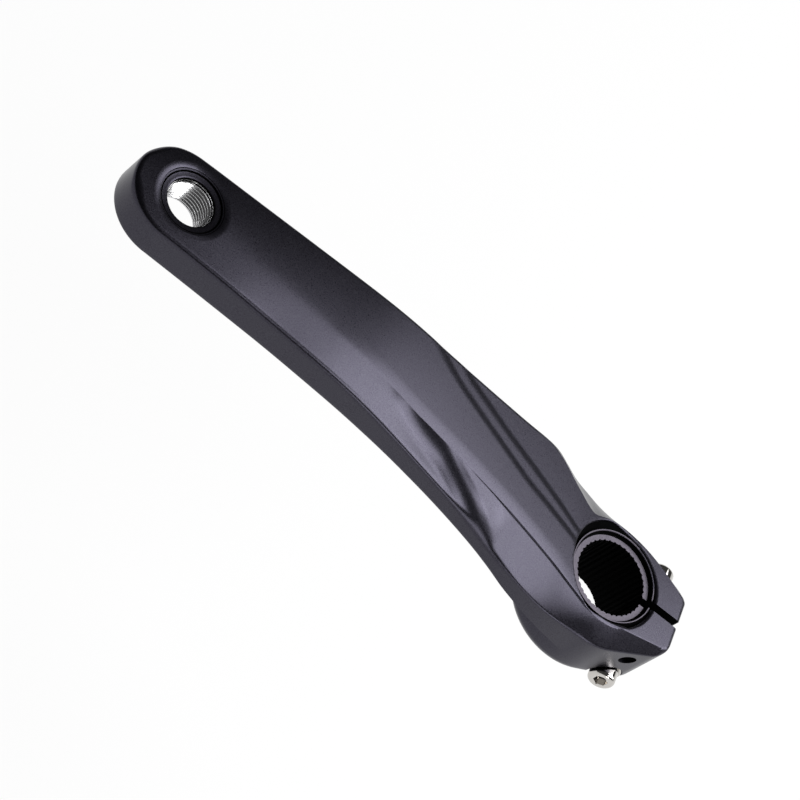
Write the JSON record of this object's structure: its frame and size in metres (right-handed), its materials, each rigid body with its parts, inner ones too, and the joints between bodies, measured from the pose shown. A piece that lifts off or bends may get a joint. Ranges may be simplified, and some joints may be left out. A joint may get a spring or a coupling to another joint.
{
  "type": "bicycle crank arm",
  "caption": "Forged left bicycle crank arm: a faceted satin black bar with a splined, slit clamp boss closed by pinch bolts at the axle end and a threaded pedal eye at the other.",
  "frame": {"origin": "on the spindle axis, at the inboard end of the splined bore", "axes": "+Z outboard along the spindle axis, +X towards the pedal axis"},
  "size_m": [0.2143, 0.0452, 0.0503],
  "materials": {
    "satin_black_paint": "satin black over forged aluminium",
    "polished_steel": "polished"
  },
  "bodies": {
    "root": {"crank_arm": "satin_black_paint", "pinch_bolts": "polished_steel", "pinch_bolt_washers": "polished_steel"}
  },
  "joints": []
}
